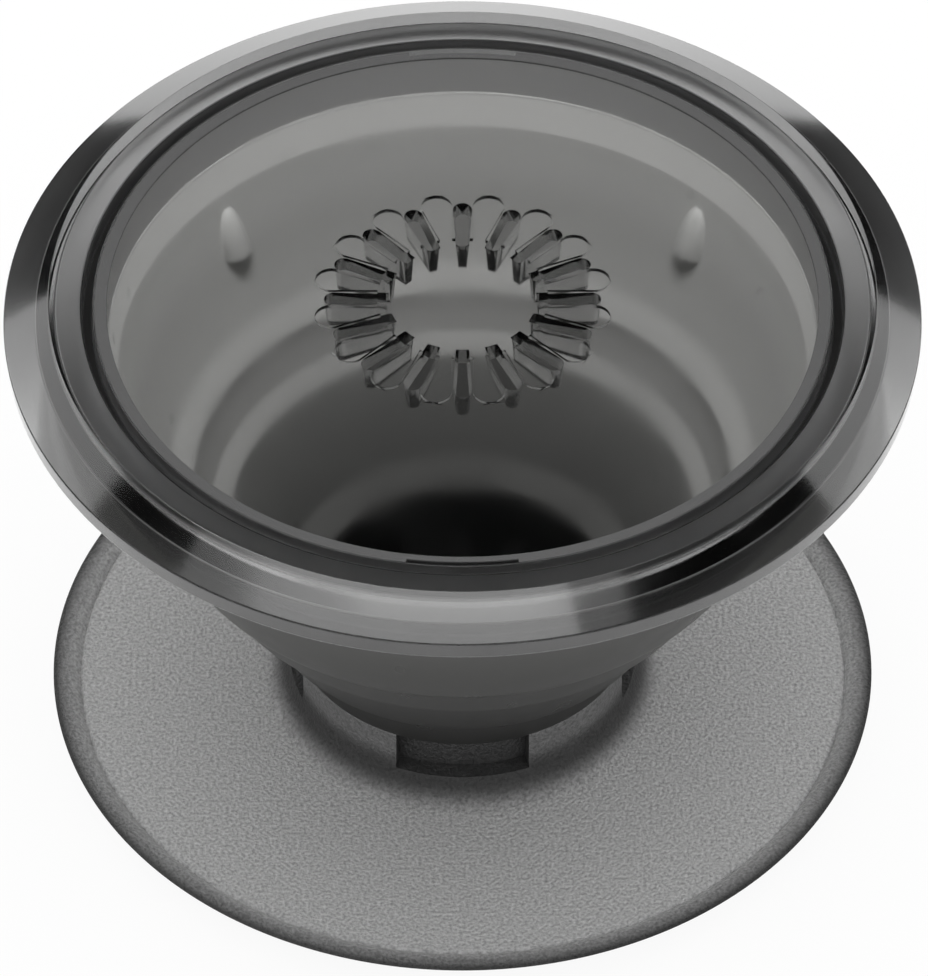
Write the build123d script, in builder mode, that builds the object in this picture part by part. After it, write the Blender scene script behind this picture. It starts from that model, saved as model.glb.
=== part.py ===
from build123d import *

import os

# Collapsible phone grip, popped open. Millimetres, +Z up from the underside of the adhesive pad.

# Levels
pad_thickness = 0.6
base_plate_thickness = 1.1
grip_stance = 22.2  # from the base's widest edge up to the disc's widest edge

# Top disc
disc_radius = 19.9
bevel_width = 1.99
bevel_height = 1.17
rim_side_height = 0.91
rim_draft = 0.09
rim_width = 1.9
rim_inner_slope = 0.35
plate_thickness = 0.8
edge_softness = 0.1
moat_width = 1.5  # between the rim and the skirt
skirt_wall = 0.48
skirt_depth = 1.72

# Star of ribs and petals under the disc
star_count = 16
rib_inner_radius = 3.2
rib_outer_radius = 6.0
rib_inner_half = 0.29
rib_outer_half = 0.42
rib_depth = 1.2
rib_taper = 5  # degrees
petal_depth = 0.2  # the flower is a shallow recess
petal_reach = 6.5
petal_tip_radius = 0.7
petal_root_reach = 3.7
petal_root_radius = 0.28

# Bayonet between the disc's skirt and the lock ring
lug_count = 2
lug_span = 16  # degrees
lug_height = 0.5
lug_reach = 0.24
lug_drop = 0.75  # from the plate's underside to the top of a lug
twist_to_release = 90  # degrees
track_play = 0.6  # degrees at each end of the track
slip = 0.06  # running clearance of the bayonet

# Lock ring
ring_wall = 0.56
ring_flange = 0.4

# Accordion
wall = 0.75
rim_band = 0.6
mouth_run = 0.4
mouth_drop = 1.68
tier_one_bow = 0.25
ledge_one_run = 0.94
ledge_one_drop = 0.9
tier_two_run = 0.76
tier_two_drop = 1.75
ledge_two_run = 0.83
ledge_two_drop = 0.7
tier_three_run = 2.27
tier_three_drop = 4.35
floor_run = 1.4
floor_drop = 0.5
fold_radius = 0.35
bump_count = 4
bump_length = 2.5
bump_radius = 0.77
bump_sink = 0.15  # from the wall's face to the bump's axis, inside the wall

# Foot of the accordion and the hub that it snaps on
foot_height = 1.3
foot_wall = 0.35
foot_flare = 0.9
shoulder_rise = 0.45
shoulder_height = 0.45
snap_play = 0.1
hub_radius = 7.0
hub_wall = 0.5
bead_reach = 0.3
bead_height = 0.4
bead_lift = 0.5  # from the collar's top to the underside of the bead
bead_lead = 0.15
floor_overlap = 0.7  # of the floor over the bead

# Base
base_radius = 18.41
base_undercut = 1.15
rim_bead_width = 1.13
rim_bead_crest = 0.14  # above the base's widest edge
plate_sink = 0.2  # of the plate's face below the base's widest edge
groove_width = 0.1
groove_depth = 0.1
collar_height = 3.0
collar_radius = 7.7
collar_flare = 1.6
flare_sink = 0.06  # keeps the flare from running out to nothing on the plate
notch_count = 4
notch_inner_half = 2.8
notch_outer_half = 3.45
notch_depth = 2.1
hub_rib_inner_radius = 2.3
hub_rib_width = 0.7
hub_rib_height = 1.6
root = 0.3  # how far a raised feature is carried down into the plate

# Adhesive pad
pad_radius = 16.5
pad_edge_radius = 0.12

# Heights and radii of the disc and its skirt
base_edge_z = pad_thickness + base_plate_thickness
disc_edge_z = base_edge_z + grip_stance
face_z = disc_edge_z + bevel_height
plate_z = face_z - plate_thickness
rim_bottom_z = disc_edge_z - rim_side_height
face_radius = disc_radius - bevel_width
rim_inner_radius = disc_radius - rim_width
skirt_outer_radius = rim_inner_radius - moat_width
skirt_inner_radius = skirt_outer_radius - skirt_wall
skirt_bottom_z = plate_z - skirt_depth
lug_top_z = plate_z - lug_drop
lug_inner_radius = skirt_inner_radius - lug_reach
star_turn = 360 / star_count

# Heights and radii of the lock ring
ring_outer_radius = skirt_inner_radius - slip
mouth_radius = ring_outer_radius - ring_wall
ring_top_z = plate_z - slip
flange_top_z = skirt_bottom_z - slip
mouth_z = flange_top_z - ring_flange
track_radius = lug_inner_radius - slip
track_bottom_z = lug_top_z - lug_height - slip
track_height = lug_height + 2 * slip

# Heights and radii of the hub and of the accordion's foot
base_face_z = base_edge_z - plate_sink
collar_top_z = base_edge_z + collar_height
bead_bottom_z = collar_top_z + bead_lift
bead_top_z = bead_bottom_z + bead_height
bead_radius = hub_radius + bead_reach
hub_bore_radius = hub_radius - hub_wall
seat_radius = bead_radius + snap_play
foot_bore_radius = hub_radius + snap_play
foot_bottom_radius = seat_radius + foot_wall
foot_top_radius = foot_bottom_radius + foot_flare
floor_bore_radius = bead_radius - floor_overlap
floor_z = collar_top_z + foot_height

# The inner line of the accordion's wall: down from the mouth, and up from the floor.
# The first tier spans what is left between the two.
neck_r = mouth_radius - mouth_run
neck_z = mouth_z - mouth_drop
tier_three_bottom_r = floor_bore_radius + floor_run
tier_three_bottom_z = floor_z + floor_drop
tier_three_top_r = tier_three_bottom_r + tier_three_run
tier_three_top_z = tier_three_bottom_z + tier_three_drop
ledge_two_r = tier_three_top_r + ledge_two_run
ledge_two_z = tier_three_top_z + ledge_two_drop
ledge_one_r = ledge_two_r + tier_two_run
ledge_one_z = ledge_two_z + tier_two_drop
tier_one_bottom_r = ledge_one_r + ledge_one_run
tier_one_bottom_z = ledge_one_z + ledge_one_drop
bow_r = (neck_r + tier_one_bottom_r) / 2 + tier_one_bow
bow_z = (neck_z + tier_one_bottom_z) / 2
foot_top_z = tier_three_bottom_z + shoulder_rise
shoulder_z = foot_top_z + shoulder_height
inner_line = [
    Vector(mouth_radius, mouth_z),
    Vector(neck_r, neck_z),
    Vector(tier_one_bottom_r, tier_one_bottom_z),
    Vector(ledge_one_r, ledge_one_z),
    Vector(ledge_two_r, ledge_two_z),
    Vector(tier_three_top_r, tier_three_top_z),
    Vector(tier_three_bottom_r, tier_three_bottom_z),
    Vector(floor_bore_radius, floor_z),
]


def outside_corner(before, corner, after):
    """The point one wall outside a corner of the inner line, where the two offset sides meet."""
    above = (corner - before).normalized().rotate(Axis.Z, 90)
    below = (after - corner).normalized().rotate(Axis.Z, 90)
    return corner + (above + below) * (wall / (1 + above.dot(below)))


def ring_sector(inner_radius, outer_radius, start_angle, span):
    """A flat piece of a ring, from start_angle through span degrees."""
    with BuildSketch() as sector:
        with BuildLine():
            inner_arc = CenterArc((0, 0), inner_radius, start_angle, span)
            outer_arc = CenterArc((0, 0), outer_radius, start_angle, span)
            Line(inner_arc @ 0, outer_arc @ 0)
            Line(inner_arc @ 1, outer_arc @ 1)
        make_face()
    return sector.sketch


# The outer line, from the neck down to the third tier, and where the foot's shoulder meets it
neck_out, tier_one_out, ledge_one_out, ledge_two_out, tier_three_out, floor_out = [
    outside_corner(*inner_line[i - 1 : i + 2]) for i in range(1, len(inner_line) - 1)
]
tier_three_share = (tier_three_out.Y - shoulder_z) / (tier_three_out.Y - floor_out.Y)
shoulder = tier_three_out + (floor_out - tier_three_out) * tier_three_share

# Flat shapes that repeat around the axis
with BuildSketch() as rib:
    with BuildLine():
        rib_tip = CenterArc((rib_outer_radius - rib_outer_half, 0), rib_outer_half, -90, 180)
        Polyline(
            rib_tip @ 1,
            (rib_inner_radius, rib_inner_half),
            (rib_inner_radius, -rib_inner_half),
            rib_tip @ 0,
        )
    make_face()

with BuildSketch() as petal:
    with Locations((petal_reach - petal_tip_radius, 0)):
        Circle(petal_tip_radius)
    with Locations((petal_root_reach, 0)):
        Circle(petal_root_radius)
    make_hull()

lug_start = -lug_span / 2
lug_shape = ring_sector(lug_inner_radius, skirt_inner_radius + skirt_wall / 2, lug_start, lug_span)
track_outer_radius = ring_outer_radius + slip
track_shape = ring_sector(
    track_radius,
    track_outer_radius,
    lug_start - track_play,
    twist_to_release + lug_span + 2 * track_play,
)
entry_shape = ring_sector(
    track_radius,
    track_outer_radius,
    twist_to_release + lug_start - track_play,
    lug_span + 2 * track_play,
)

with BuildSketch() as notch:
    with BuildLine():
        Polyline(
            (hub_bore_radius, -notch_inner_half),
            (collar_radius + collar_flare, -notch_outer_half),
            (collar_radius + collar_flare, notch_outer_half),
            (hub_bore_radius, notch_inner_half),
            close=True,
        )
    make_face()
    Circle(hub_radius, mode=Mode.SUBTRACT)

# Top disc: plate and bevelled rim
with BuildPart() as top_disc:
    with BuildSketch(Plane.XZ):
        with BuildLine():
            Polyline(
                (0, plate_z),
                (rim_inner_radius - rim_inner_slope, plate_z),
                (rim_inner_radius, rim_bottom_z),
                (disc_radius - rim_draft, rim_bottom_z),
                (disc_radius, disc_edge_z),
                (face_radius, face_z),
                (0, face_z),
                close=True,
            )
        make_face()
    revolve(axis=Axis.Z)
    fillet(top_disc.edges().filter_by(GeomType.CIRCLE), edge_softness)

    # Skirt and its bayonet lugs
    with BuildSketch(Plane.XY.offset(plate_z)):
        Circle(skirt_outer_radius)
        Circle(skirt_inner_radius, mode=Mode.SUBTRACT)
    extrude(amount=-skirt_depth)
    with BuildSketch(Plane.XY.offset(lug_top_z)):
        with PolarLocations(0, lug_count):
            add(lug_shape)
    extrude(amount=-lug_height)

    # Flower of petals round a flat middle, cut into the plate, then the ribs between the petals
    with BuildSketch(Plane.XY.offset(plate_z)):
        Circle(petal_root_reach)
        with PolarLocations(0, star_count, start_angle=star_turn / 2):
            add(petal.sketch)
    extrude(amount=petal_depth, mode=Mode.SUBTRACT)
    with BuildSketch(Plane.XY.offset(plate_z + petal_depth)):
        with PolarLocations(0, star_count):
            add(rib.sketch)
    extrude(amount=-petal_depth - rib_depth, taper=rib_taper)

# Lock ring: an angle section with two bayonet tracks, each open at one end
with BuildPart() as lock_ring:
    with BuildSketch(Plane.XZ):
        with BuildLine():
            Polyline(
                (mouth_radius, mouth_z),
                (skirt_outer_radius, mouth_z),
                (skirt_outer_radius, flange_top_z),
                (ring_outer_radius, flange_top_z),
                (ring_outer_radius, ring_top_z),
                (mouth_radius, ring_top_z),
                close=True,
            )
        make_face()
    revolve(axis=Axis.Z)
    with BuildSketch(Plane.XY.offset(track_bottom_z)):
        with PolarLocations(0, lug_count):
            add(track_shape)
    extrude(amount=track_height, mode=Mode.SUBTRACT)
    with BuildSketch(Plane.XY.offset(track_bottom_z)):
        with PolarLocations(0, lug_count):
            add(entry_shape)
    extrude(amount=ring_top_z - track_bottom_z, mode=Mode.SUBTRACT)

# A bump of the first tier: half an egg with a flat lower end, its axis sunk in the wall
wall_rise = Vector(neck_r - bow_r, 0, neck_z - bow_z)
bump_plane = Plane(origin=(bow_r + bump_sink, 0, bow_z), x_dir=wall_rise, z_dir=(0, -1, 0))
with BuildPart() as bump:
    with BuildSketch(bump_plane):
        with BuildLine():
            Line((0, 0), (bump_length, 0))
            EllipticalCenterArc((0, 0), bump_length, bump_radius, start_angle=0, arc_size=90)
            Line((0, bump_radius), (0, 0))
        make_face()
    revolve(axis=Axis(bump_plane.origin, bump_plane.x_dir))

# Accordion: mouth, three tiers with ledges between them, and the foot with the hub's seat in it
with BuildPart() as accordion:
    with BuildSketch(Plane.XZ) as wall_section:
        with BuildLine():
            Line(inner_line[0], inner_line[1])
            ThreePointArc(inner_line[1], (bow_r, bow_z), inner_line[2])
            Polyline(
                *inner_line[2:],
                (floor_bore_radius, bead_top_z + snap_play),
                (seat_radius, bead_top_z + snap_play),
                (seat_radius, bead_bottom_z - snap_play),
                (foot_bore_radius, bead_bottom_z - snap_play),
                (foot_bore_radius, collar_top_z),
                (foot_bottom_radius, collar_top_z),
                (foot_top_radius, foot_top_z),
                shoulder,
                tier_three_out,
                ledge_two_out,
                ledge_one_out,
                tier_one_out,
            )
            ThreePointArc(tier_one_out, (bow_r + wall, bow_z), neck_out)
            Polyline(
                neck_out,
                (skirt_outer_radius, mouth_z - rim_band),
                (skirt_outer_radius, mouth_z),
                inner_line[0],
            )
        make_face()
        folds = wall_section.vertices().filter_by_position(
            Axis.Y, tier_three_bottom_z - fold_radius, neck_z + fold_radius
        )
        fillet(folds, fold_radius)
    revolve(axis=Axis.Z)
    with PolarLocations(0, bump_count, start_angle=180 / bump_count):
        add(bump.part)

# Base: plate with a raised bead round its edge, a fine groove inside it and a side cut back below it
groove_radius = base_radius - rim_bead_width
with BuildPart() as base:
    with BuildSketch(Plane.XZ):
        with BuildLine():
            Polyline(
                (0, base_face_z),
                (0, pad_thickness),
                (base_radius - base_undercut, pad_thickness),
                (base_radius, base_edge_z),
            )
            ThreePointArc(
                (base_radius, base_edge_z),
                (base_radius - rim_bead_width / 2, base_edge_z + rim_bead_crest),
                (groove_radius, base_face_z),
            )
            Polyline(
                (groove_radius, base_face_z),
                (groove_radius - groove_width, base_face_z - groove_depth),
                (groove_radius - 2 * groove_width, base_face_z),
                (0, base_face_z),
            )
        make_face()
    revolve(axis=Axis.Z)

    # Hub with its snap bead, in a flared collar
    with BuildSketch(Plane.XZ):
        with BuildLine():
            flare_centre = (collar_radius + collar_flare, base_face_z + collar_flare - flare_sink)
            flare = CenterArc(flare_centre, collar_flare, 180, 90)
            Polyline(
                flare @ 1,
                (collar_radius + collar_flare, base_face_z - root),
                (hub_bore_radius, base_face_z - root),
                (hub_bore_radius, bead_top_z),
                (bead_radius - bead_lead, bead_top_z),
                (bead_radius, bead_bottom_z),
                (hub_radius, bead_bottom_z),
                (hub_radius, collar_top_z),
                (collar_radius, collar_top_z),
                flare @ 0,
            )
        make_face()
    revolve(axis=Axis.Z)

    # Notches in the collar's top, as deep as the hub's wall
    with BuildSketch(Plane.XY.offset(collar_top_z - notch_depth)):
        with PolarLocations(0, notch_count):
            add(notch.sketch)
    extrude(amount=notch_depth, mode=Mode.SUBTRACT)

    # Star of ribs inside the hub
    hub_rib_length = hub_bore_radius + root - hub_rib_inner_radius
    with BuildSketch(Plane.XY.offset(base_face_z - root)):
        with PolarLocations(hub_rib_inner_radius + hub_rib_length / 2, star_count):
            Rectangle(hub_rib_length, hub_rib_width)
    extrude(amount=root + hub_rib_height)

# Adhesive pad: a soft disc with rounded edges
with BuildPart() as adhesive_pad:
    with BuildSketch():
        Circle(pad_radius)
    extrude(amount=pad_thickness)
    fillet(adhesive_pad.edges(), pad_edge_radius)

os.makedirs("parts", exist_ok=True)
pieces = {
    "top_disc": top_disc,
    "lock_ring": lock_ring,
    "accordion": accordion,
    "base": base,
    "adhesive_pad": adhesive_pad,
}
for name, piece in pieces.items():
    piece.part.label = name
    export_step(piece.part, f"parts/{name}.step")
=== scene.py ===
import math

import bmesh
import bpy
import numpy as np
from bpy.props import FloatProperty, FloatVectorProperty, IntProperty, PointerProperty, StringProperty
from bpy.types import Operator, Panel, PropertyGroup
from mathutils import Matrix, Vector


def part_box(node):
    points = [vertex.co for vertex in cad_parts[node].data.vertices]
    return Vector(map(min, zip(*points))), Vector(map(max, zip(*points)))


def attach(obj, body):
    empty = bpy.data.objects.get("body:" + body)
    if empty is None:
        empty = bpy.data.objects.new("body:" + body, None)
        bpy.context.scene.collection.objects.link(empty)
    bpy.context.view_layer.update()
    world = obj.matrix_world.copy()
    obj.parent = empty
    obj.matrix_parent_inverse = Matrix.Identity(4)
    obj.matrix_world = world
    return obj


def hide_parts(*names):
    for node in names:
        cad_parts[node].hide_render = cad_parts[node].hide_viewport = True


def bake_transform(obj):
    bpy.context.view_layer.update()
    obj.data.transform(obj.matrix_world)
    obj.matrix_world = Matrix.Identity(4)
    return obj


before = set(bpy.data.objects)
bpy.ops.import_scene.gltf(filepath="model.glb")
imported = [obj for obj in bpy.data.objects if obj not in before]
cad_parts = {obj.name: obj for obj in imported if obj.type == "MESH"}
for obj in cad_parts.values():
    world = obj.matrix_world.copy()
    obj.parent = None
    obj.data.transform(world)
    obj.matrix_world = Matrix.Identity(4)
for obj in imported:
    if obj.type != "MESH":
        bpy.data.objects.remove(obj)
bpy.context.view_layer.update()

bl_info = {
    "name": "Collapsible phone grip",
    "version": (1, 0, 0),
    "blender": (4, 5, 0),
    "location": "View3D > Sidebar > Phone grip",
    "description": "Builds a popped-open phone grip of smoke plastic over its frame, with a studio round it",
    "category": "Add Mesh",
}

MM = 0.001


def node_levels(name):
    """Radius, lowest level and highest level of a solid of the frame."""
    low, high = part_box(name)
    return high[0], low[2], high[2]


DISC_RADIUS, SKIRT_BOTTOM, FACE = node_levels("top_disc")
FLANGE_RADIUS, MOUTH, RING_TOP = node_levels("lock_ring")
ACCORDION_RADIUS, COLLAR_TOP, ACCORDION_TOP = node_levels("accordion")
BASE_RADIUS, PAD_TOP, HUB_TOP = node_levels("base")
PAD_RADIUS, PAD_BOTTOM, _ = node_levels("adhesive_pad")

# Columns round the axis of the disc and the base: sixteen in each sector of the star
SECTOR_LINES = 8
# Columns round the axis of the studio's round pieces
STUDIO_COLUMNS = 96
# Half the distance between the two rows of a sharp step in a wall
HAIR = 0.003 * MM
POLYCARBONATE_IOR = 1.58


def number(name, description, default, **kind):
    """A number property, with its unit or subtype where it has one."""
    return FloatProperty(name=name, description=description, default=default, **kind)


def length(name, description, millimetres):
    """A size property of that many millimetres, kept in metres."""
    return number(name, description, millimetres * MM, unit="LENGTH", precision=6)


def colour(name, description, code):
    """A colour property that holds an sRGB hex code."""
    return StringProperty(name=name, description=description, default=code)


class GripDiscSizes(PropertyGroup):
    """Sizes of the clear disc with its rim, skirt and star."""

    bevel_width: length("Bevel width", "Across the sloped edge", 1.99)
    bevel_height: length("Bevel height", "Drop of the sloped edge", 1.17)
    side_height: length("Rim side", "Rim's height below its widest edge", 0.91)
    side_draft: length("Rim draft", "How far the rim's side leans in", 0.09)
    rim_width: length("Rim width", "Thickness of the rim", 1.9)
    rim_slope: length("Rim inner slope", "How far the rim's inner wall leans", 0.35)
    plate: length("Plate", "Thickness of the plate", 0.8)
    moat: length("Moat", "Gap between the rim and the skirt", 1.5)
    skirt_wall: length("Skirt wall", "Thickness of the skirt", 0.48)
    softness: length("Edge softness", "Radius of the moulded edges", 0.1)
    lug_drop: length("Lug drop", "From the plate to a lug's top", 0.75)
    lug_height: length("Lug height", "Height of a lug", 0.5)
    lug_reach: length("Lug reach", "How far a lug stands in", 0.24)
    star_count: IntProperty(name="Star count", description="Ribs and petals of the star", default=16)
    rib_inner: length("Rib inner end", "Radius where the ribs start", 3.2)
    rib_outer: length("Rib outer end", "Radius where the ribs end", 6.0)
    rib_inner_half: length("Rib inner half width", "Half a rib's width at its inner end", 0.29)
    rib_outer_half: length("Rib outer half width", "Half a rib's width at its outer end", 0.42)
    rib_depth: length("Rib depth", "How far the ribs hang below the plate", 1.2)
    rib_draft: length("Rib draft", "How far the rib's sides lean in", 0.12)
    petal_depth: length("Petal depth", "Depth of the flower cut into the plate", 0.2)
    petal_reach: length("Petal reach", "Radius of the petals' tips", 6.5)
    petal_tip: length("Petal tip", "Radius of a petal's round end", 0.7)
    petal_root: length("Petal root", "Radius where the petals start", 3.7)
    petal_root_half: length("Petal root half width", "Half a petal's width at its root", 0.28)


class GripRingSizes(PropertyGroup):
    """Sizes of the lock ring and its bayonet tracks."""

    wall: length("Ring wall", "Thickness of the upright wall", 0.56)
    flange: length("Flange", "Thickness of the flange", 0.4)
    flange_reach: length("Flange reach", "How far the flange stands out", 0.54)
    track_depth: length("Track depth", "How deep the bayonet track is", 0.24)
    track_top: length("Track top", "From the ring's top to the track's", 0.63)
    track_height: length("Track height", "Height of the bayonet track", 0.62)
    softness: length("Edge softness", "Radius of the moulded edges", 0.05)


class GripAccordionSizes(PropertyGroup):
    """Sizes of the folding wall."""

    wall: length("Wall", "Thickness of the folding wall", 0.75)
    rim_band: length("Rim band", "Height of the band at the mouth", 0.6)
    mouth_run: length("Mouth run", "How far the mouth narrows", 0.4)
    mouth_drop: length("Mouth drop", "Height of the mouth", 1.68)
    bow: length("First tier's bow", "How far the first tier bellies out", 0.25)
    ledge_one_run: length("First ledge's run", "How far the first ledge steps in", 0.94)
    ledge_one_drop: length("First ledge's drop", "Height of the first ledge", 0.9)
    tier_two_run: length("Second tier's run", "How far the second tier narrows", 0.76)
    tier_two_drop: length("Second tier's drop", "Height of the second tier", 1.75)
    ledge_two_run: length("Second ledge's run", "How far the second ledge steps in", 0.83)
    ledge_two_drop: length("Second ledge's drop", "Height of the second ledge", 0.7)
    tier_three_run: length("Third tier's run", "How far the third tier narrows", 2.27)
    tier_three_drop: length("Third tier's drop", "Height of the third tier", 4.35)
    floor_run: length("Floor run", "Width of the sloped floor", 1.4)
    floor_drop: length("Floor drop", "Drop of the sloped floor", 0.5)
    corner_fold: length("Corner fold", "Radius of the fold from the first tier to its ledge", 2.0)
    fold: length("Fold", "Radius of the other folds", 0.35)
    bump_length: length("Bump length", "Length of a stop bump", 2.5)
    bump_radius: length("Bump radius", "Radius of a stop bump", 0.77)
    bump_sink: length("Bump sink", "How deep a bump's axis lies in the wall", 0.15)
    foot_height: length("Foot height", "From the foot's underside to the floor", 1.3)
    foot_wall: length("Foot wall", "Thickness of the foot round the bead", 0.35)
    foot_flare: length("Foot flare", "How far the foot widens", 0.9)
    shoulder: length("Shoulder", "Height of each step of the foot's shoulder", 0.45)
    play: length("Snap play", "Clearance round the hub's bead", 0.1)
    overlap: length("Floor overlap", "How far the floor covers the hub's bead", 0.7)


class GripBaseSizes(PropertyGroup):
    """Sizes of the base plate, its collar and its hub."""

    plate: length("Plate", "Thickness of the base plate", 1.1)
    undercut: length("Undercut", "How far the edge leans in below", 1.15)
    bead_width: length("Rim bead width", "Width of the bead round the edge", 1.13)
    bead_crest: length("Rim bead crest", "Height of the bead above the edge", 0.14)
    sink: length("Plate sink", "How far the plate lies below the edge", 0.2)
    groove: length("Groove", "Depth of the fine groove inside the bead", 0.1)
    collar_radius: length("Collar radius", "Radius of the collar", 7.7)
    collar_flare: length("Collar flare", "Radius of the flare at the collar's foot", 1.6)
    flare_sink: length("Flare sink", "How deep the flare's end lies in the plate", 0.06)
    hub_radius: length("Hub radius", "Outer radius of the hub", 7.0)
    hub_wall: length("Hub wall", "Thickness of the hub's wall", 0.5)
    bead_reach: length("Hub bead reach", "How far the snap bead stands out", 0.3)
    bead_height: length("Hub bead height", "Height of the snap bead", 0.4)
    bead_lead: length("Hub bead lead", "Lead-in slope of the snap bead", 0.15)
    notch_inner: length("Notch inner half", "Half a notch's width at the hub", 2.8)
    notch_outer: length("Notch outer half", "Half a notch's width at the flare", 3.45)
    notch_depth: length("Notch depth", "How deep a notch cuts into the collar", 2.1)
    rib_inner: length("Hub rib start", "Radius where the hub's ribs start", 2.3)
    rib_half: length("Hub rib half width", "Half a hub rib's width", 0.35)
    rib_height: length("Hub rib height", "Height of the hub's ribs", 1.6)
    pad_edge: length("Pad edge", "Radius of the adhesive pad's edges", 0.12)


class GripColours(PropertyGroup):
    """Colours of the finishes, and how fast the clear plastics darken with depth."""

    clear: colour("Clear plastic", "Surface tint of the smoke polycarbonate", "#F6F6F6")
    moat: colour("Moat", "Tint of the frosted moat and skirt under the plate", "#BEBEBE")
    ring: colour("Lock ring", "Grey of the ring's inner side", "#F0F0F0")
    ring_crest: colour("Lock ring crest", "Grey of the ring's top", "#6C6C6C")
    # Painted shade: the ring's outer side behind the skirt is painted dark, in place of the skirt's shadow
    ring_back_painted_shade: colour("Lock ring back", "Grey of the ring's outer side", "#2A2A2A")
    # Painted highlight: the lip is painted nearly white where light falls on it
    lip: colour("Lip", "Grey of the elastomer's thin lip", "#F8F8F6")
    # Painted shade: inside, the elastomer is painted from this pale grey down to the dark foot grey
    soft: colour("Soft plastic", "Grey of the elastomer inside the first tier", "#C4C4C2")
    soft_foot_painted_shade: colour("Soft foot", "Grey of the elastomer inside the foot", "#393938")
    # Painted shade: the outer side is painted darker than the inside, and darker still towards the foot
    skin: colour("Outer skin", "Grey of the outer skin at the mouth", "#5C5C5A")
    skin_foot_painted_shade: colour("Outer foot", "Grey of the outer skin at the foot", "#2E2E2D")
    base: colour("Base", "Grey of the textured base", "#AEAEAE")
    base_edge: colour("Base edge", "Grey of the bead's outer side", "#222222")
    # Painted shade: the collar's foot, the collar's wall and the hub are painted darker, where the accordion shades
    # the base
    foot: colour("Collar foot", "Grey of the thick foot round the collar", "#343434")
    collar: colour("Collar", "Grey of the collar's thin wall", "#666666")
    hub: colour("Hub", "Grey of the plain well inside the hub", "#383838")
    pad: colour("Adhesive pad", "Grey of the gel pad", "#6E6E6E")
    clear_depth: number("Clear depth", "Absorption of the disc, per metre", 360.0)


class GripStage(PropertyGroup):
    """Camera and studio."""

    camera: FloatVectorProperty(
        name="Camera", description="Where the camera stands", default=(0.0, -0.2854, 0.3041), subtype="TRANSLATION"
    )
    pitch: number("Pitch", "How far the camera looks down", math.radians(45.566), subtype="ANGLE")
    yaw: number("Yaw", "How far the camera turns to the side", math.radians(-0.0129), subtype="ANGLE")
    lens: number("Lens", "Focal length on a 36 mm sensor", 340.5, subtype="DISTANCE_CAMERA")
    key_light: number("Key light", "Power of the lamp over the mouth", 5.4, unit="POWER")
    top_light: number("Top light", "Power of the overhead softbox", 0.8, unit="POWER")
    side_light: number("Side light", "Power of each side softbox", 0.28, unit="POWER")
    ambient: number("Ambient", "Strength of the sky's fill light", 1.4)


def linear(code):
    """sRGB hex code to linear RGBA: c / 12.92 below 0.04045, else ((c + 0.055) / 1.055) ** 2.4."""
    srgb = np.array([int(code[i : i + 2], 16) for i in (1, 3, 5)]) / 255
    rgb = np.where(srgb <= 0.04045, srgb / 12.92, ((srgb + 0.055) / 1.055) ** 2.4)
    return (*rgb.tolist(), 1.0)


class Nodes:
    """The node tree of a material or world, emptied and then built up by these calls, which return sockets."""

    def __init__(self, owner):
        self.owner = owner
        owner.use_nodes = True
        self.tree = owner.node_tree
        self.tree.nodes.clear()

    def add(self, kind, inputs=None, **settings):
        """The outputs of a new node with those settings, each input given its value or the socket that feeds it."""
        node = self.tree.nodes.new("ShaderNode" + kind)
        for key, value in settings.items():
            setattr(node, key, value)
        for key, value in (inputs or {}).items():
            if isinstance(value, bpy.types.NodeSocket):
                self.tree.links.new(value, node.inputs[key])
            else:
                node.inputs[key].default_value = value
        return node.outputs

    def place(self):
        """The point on the piece, in metres of the shared frame."""
        return self.add("TexCoord")["Object"]

    def level(self):
        """The height of a point."""
        return self.add("SeparateXYZ", {0: self.place()})["Z"]

    def radius(self):
        """The distance of a point from the axis."""
        flat = self.add("VectorMath", {0: self.place(), 1: (1.0, 1.0, 0.0)}, operation="MULTIPLY")
        return self.add("VectorMath", {0: flat[0]}, operation="LENGTH")["Value"]

    def math(self, operation, *values):
        """The result of a sum on one to three numbers or sockets."""
        return self.add("Math", dict(enumerate(values)), operation=operation)[0]

    def span(self, value, within=(0.0, 1.0), to=(0.0, 1.0), steps="LINEAR"):
        """A value within one span, mapped to another span and kept inside it."""
        ends = {"From Min": within[0], "From Max": within[1], "To Min": to[0], "To Max": to[1]}
        return self.add("MapRange", {"Value": value, **ends}, interpolation_type=steps)["Result"]

    def mix(self, share, low, high, blend="MIX"):
        """Two colours, each a hex code or a socket, mixed by a share."""
        low, high = (linear(end) if isinstance(end, str) else end for end in (low, high))
        return self.add("Mix", {"Factor": share, "A": low, "B": high}, data_type="RGBA", blend_type=blend)[2]

    def noise(self, size, detail):
        """A noise from 0 to 1 with grains of about that size."""
        return self.add("TexNoise", {"Vector": self.place(), "Scale": 1 / size, "Detail": detail})["Fac"]

    def bump(self, height, strength, distance):
        """The normal of a relief of that height."""
        return self.add("Bump", {"Strength": strength, "Distance": distance, "Height": height})[0]

    def surface(self, kind, inputs, **ends):
        """Puts a shader of that kind on the material's output, with what else goes there. Returns the material."""
        self.add("OutputMaterial", {"Surface": self.add(kind, inputs)[0], **ends})
        return self.owner


def new_finish(name):
    """The empty node tree of a new material."""
    return Nodes(bpy.data.materials.new(name))


# Shape functions


def unit(vector):
    """A vector of length 1 along another."""
    return vector / np.linalg.norm(vector)


def arc_points(centre, first, last, turn, shares):
    """Points of the arc about a centre that turns evenly from one arm to the other, at shares of the way."""
    t = np.asarray(shares)[:, None]
    return centre + (np.sin((1 - t) * turn) * first + np.sin(t * turn) * last) / math.sin(turn)


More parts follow.
